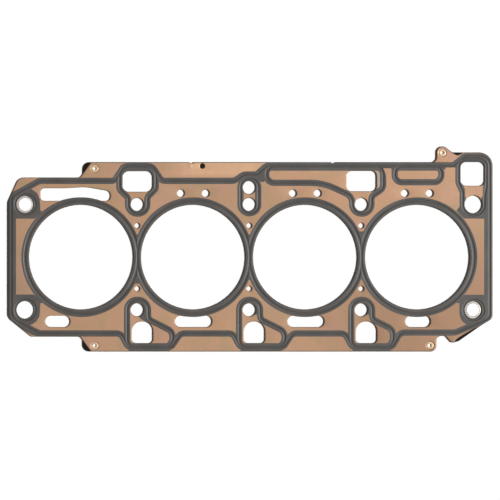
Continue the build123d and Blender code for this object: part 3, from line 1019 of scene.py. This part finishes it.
# %% Upper and lower sheet
press_values = {
    **GUIDES, **PRESS_FINISHES, **{name: size * MM for name, size in PRESS_SIZES.items()},
    "Roll depth": ROLL_DEPTH,
}
upper = run_tree("upper_sheet", upper_blank, PRESS, {
    **press_values, "Rim": upper_rim, "Nub depth": NUB_DEPTH,
    "Inner level": INNER_HIGH * MM, "Turned over": False})
lower = run_tree("lower_sheet", lower_blank, PRESS, {
    **press_values, "Rim": lower_rim, "Nub depth": 0.0,
    "Inner level": INNER_LOW * MM, "Turned over": True})
finished(upper, ["top_layer"])
finished(lower, ["bottom_layer"])

# %% [markdown]
# ## Rivets
# Four short tubes hold the stack together. Each end is rolled over by a punch, which leaves a flat
# flange with a rounded lip and a small funnel at the mouth. One rivet is turned from its section,
# and a node tree sets it on the four centres.

# %% One rivet
RIVET_SECTION = [  # radius, height above the stack's middle
    (1.18, 0.0), (1.18, 0.38), (1.22, 0.52), (1.31, 0.64), (1.46, 0.71), (1.70, 0.735),
    (2.35, 0.725), (2.62, 0.70), (2.76, 0.65), (2.80, 0.60), (2.77, 0.565), (2.65, 0.555),
    (1.50, 0.55), (1.49, 0.0),
]
TURN_STEPS = 48


def turned_rivet():
    """The section turned round its axis, closed and with its faces outwards."""
    work = bmesh.new()
    lower_half = [(radius, -height) for radius, height in reversed(RIVET_SECTION) if height > 0]
    section = [work.verts.new((radius * MM, 0, (STACK / 2 + height) * MM))
               for radius, height in RIVET_SECTION + lower_half]
    edges = [work.edges.new(pair) for pair in loop_runs(section)]
    bmesh.ops.spin(work, geom=section + edges, cent=(0, 0, 0), axis=(0, 0, 1), angle=2 * pi,
                   steps=TURN_STEPS, use_duplicate=False)
    bmesh.ops.remove_doubles(work, verts=work.verts, dist=WELD)
    bmesh.ops.recalc_face_normals(work, faces=work.faces)
    mesh = bpy.data.meshes.new("turned_rivet")
    work.to_mesh(mesh)
    work.free()
    return mesh


one_rivet = link(bpy.data.objects.new("one_rivet", turned_rivet()))
print("one rivet has", len(one_rivet.data.polygons), "faces")

# %% Rivets on their centres
def rivet_tree():
    tree, net, given = tree_with("set_on_points", {
        "Geometry": ["Points"], "Object": ["Rivet"], "Float": ["Size"], "Material": ["Finish"]})
    size = net.add("ShaderNodeCombineXYZ", {},
                   {"X": given("Size"), "Y": given("Size"), "Z": 1.0})
    stood = net.add("GeometryNodeInstanceOnPoints", {},
                    {0: given("Points"), 2: shape_of(net, given("Rivet")), 6: size})
    stood = net.add("GeometryNodeRealizeInstances", {}, {0: stood})
    net.add("NodeGroupOutput", {}, {0: set_finish(net, stood, given("Finish"))})
    return tree


rivets = run_tree("rivets", GUIDES["Rivet centres"].data, rivet_tree(),
                  {"Rivet": one_rivet, "Size": 1.0, "Finish": RIVET})
for helper in [one_rivet, *GUIDES.values(), upper_rim, lower_rim]:
    bpy.data.objects.remove(helper)
finished(rivets, [f"rivet_{k + 1}" for k in range(len(RIVETS))])

# %% [markdown]
# ## The carrier and the stopper rings
# The CAD shapes of the carrier and the rings are already right, so they stay and only get a finish.
# The carrier shows where the sheets are cut back, and as a dark line in every opening.

# %% Carrier and rings
def dress(node, material):
    """Puts one finish on a CAD piece, whose shape stays as it is."""
    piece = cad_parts[node]
    if not piece.material_slots:
        piece.data.materials.append(material)
    for holder in piece.material_slots:
        holder.material = material


dress("carrier_layer", BLACK)
for k in range(len(BORES)):
    dress(f"stopper_ring_{k + 1}", BRIGHT)
print("dressed the carrier and", len(BORES), "rings")

# %% [markdown]
# ## The floor
# The gasket lies on a plain white floor, which is a hair lower so that the two don't flicker. It is
# fully rough and has no shine, so it takes the shadow and nothing else.

# %% Floor
WHITE = (1.0, 1.0, 1.0, 1.0)
FLOOR_REACH, FLOOR_LEVEL = 4.0, -0.05 * MM  # metres


def plain_floor():
    mesh = bpy.data.meshes.new("floor")
    mesh.from_pydata([(x * FLOOR_REACH, y * FLOOR_REACH, FLOOR_LEVEL)
                      for x, y in ((-1, -1), (1, -1), (1, 1), (-1, 1))], [], [(0, 1, 2, 3)])
    material, net = new_finish("floor_white")
    mesh.materials.append(surfaced(material, net, {
        "Base Color": WHITE, "Roughness": 1.0, "Specular IOR Level": 0.0}))
    floor = link(bpy.data.objects.new("floor", mesh))


plain_floor()
print("floor laid,", 2 * FLOOR_REACH, "m wide")

# %% [markdown]
# ## The light
# One lamp far off to the right gives every edge a thin, fairly crisp shadow, and an even pale
# surround fills the rest. Together they light a level surface at a strength of one, so a colour
# renders as it is written. Lamps could do all of it, but steel needs something pale to reflect.

# %% Key lamp
KEY_HEIGHT = radians(51.0)  # of the lamp above the floor
KEY_SHARE = 0.86  # of the light on a level surface
KEY_SPREAD = radians(3.0)  # a wider lamp makes softer shadows


def key_lamp():
    lamp = bpy.data.lights.new("key", "SUN")
    lamp.energy = KEY_SHARE * pi / sin(KEY_HEIGHT)
    lamp.angle = KEY_SPREAD
    key = link(bpy.data.objects.new("key", lamp))
    key.rotation_euler = (0.0, pi / 2 - KEY_HEIGHT, 0.0)


key_lamp()
print("key lamp's share of the light on the floor:", KEY_SHARE)

# %% Studio
OVERHEAD, HORIZON, GLOW = 0.06, 0.3, 0.42  # brightness of ceiling, walls and soft panel
GLOW_HEIGHT = radians(36.0)  # of the soft panel, on the lamp's side
GLOW_EDGE = (0.60, 0.95)  # where the panel starts and is full, as a cosine
WALL_TOP, WHITE_TOP = (0.05, 0.30), (0.20, 0.35)  # where the walls fade out, as a rise


def studio():
    """Pale walls, a dim ceiling and a soft panel on the right, all as one surround. Seen straight
    or in a reflection the walls are white, like the floor."""
    world = bpy.data.worlds.new("studio")
    bpy.context.scene.world = world
    world.use_nodes = True
    world.node_tree.nodes.clear()
    net = Net(world.node_tree)
    way = net.add("ShaderNodeTexCoord", out="Generated")
    rise = net.add("ShaderNodeSeparateXYZ", {}, {0: way}).also("Z")
    panel = net.add("ShaderNodeVectorMath", {"operation": "DOT_PRODUCT"},
                    {0: way, 1: (cos(GLOW_HEIGHT), 0.0, sin(GLOW_HEIGHT))}, out="Value")
    strength = OVERHEAD + net.soft_step(rise, *WALL_TOP, HORIZON, 0.0)
    strength = strength + net.soft_step(panel, *GLOW_EDGE, 0.0, GLOW)
    ray = net.add("ShaderNodeLightPath", out="Is Camera Ray")
    seen = ray.bigger(ray.also("Is Glossy Ray")).bigger(ray.also("Is Transmission Ray"))
    white = seen * net.soft_step(rise, *WHITE_TOP, 1.0, 0.0)
    sky = net.add("ShaderNodeBackground", {}, {
        "Color": WHITE, "Strength": strength * (1 - white) + white})
    net.add("ShaderNodeOutputWorld", {}, {"Surface": sky})


studio()
print("surround: ceiling, walls, panel at", OVERHEAD, HORIZON, GLOW)

# %% [markdown]
# ## The camera
# The camera looks straight down from far off with a long lens, so that the walls of the openings
# hardly show. Its height follows from the width that it has to see.

# %% Camera
VIEW_WIDTH, VIEW_CENTRE = 401.5, (0.50, 5.74)  # mm seen across the image, and its middle
LENS, SENSOR = 120.0, 36.0
NEAR, FAR = 0.01, 20.0  # metres between which things are seen


def camera_above():
    data = bpy.data.cameras.new("camera")
    data.lens, data.sensor_width = LENS, SENSOR
    data.clip_start, data.clip_end = NEAR, FAR
    camera = link(bpy.data.objects.new("camera", data))
    height = VIEW_WIDTH * LENS / SENSOR
    camera.location = (VIEW_CENTRE[0] * MM, VIEW_CENTRE[1] * MM, (STACK + height) * MM)
    bpy.context.scene.camera = camera
    print("camera height above the gasket, mm:", round(height, 1))


camera_above()
bpy.context.scene.view_settings.view_transform = "Standard"
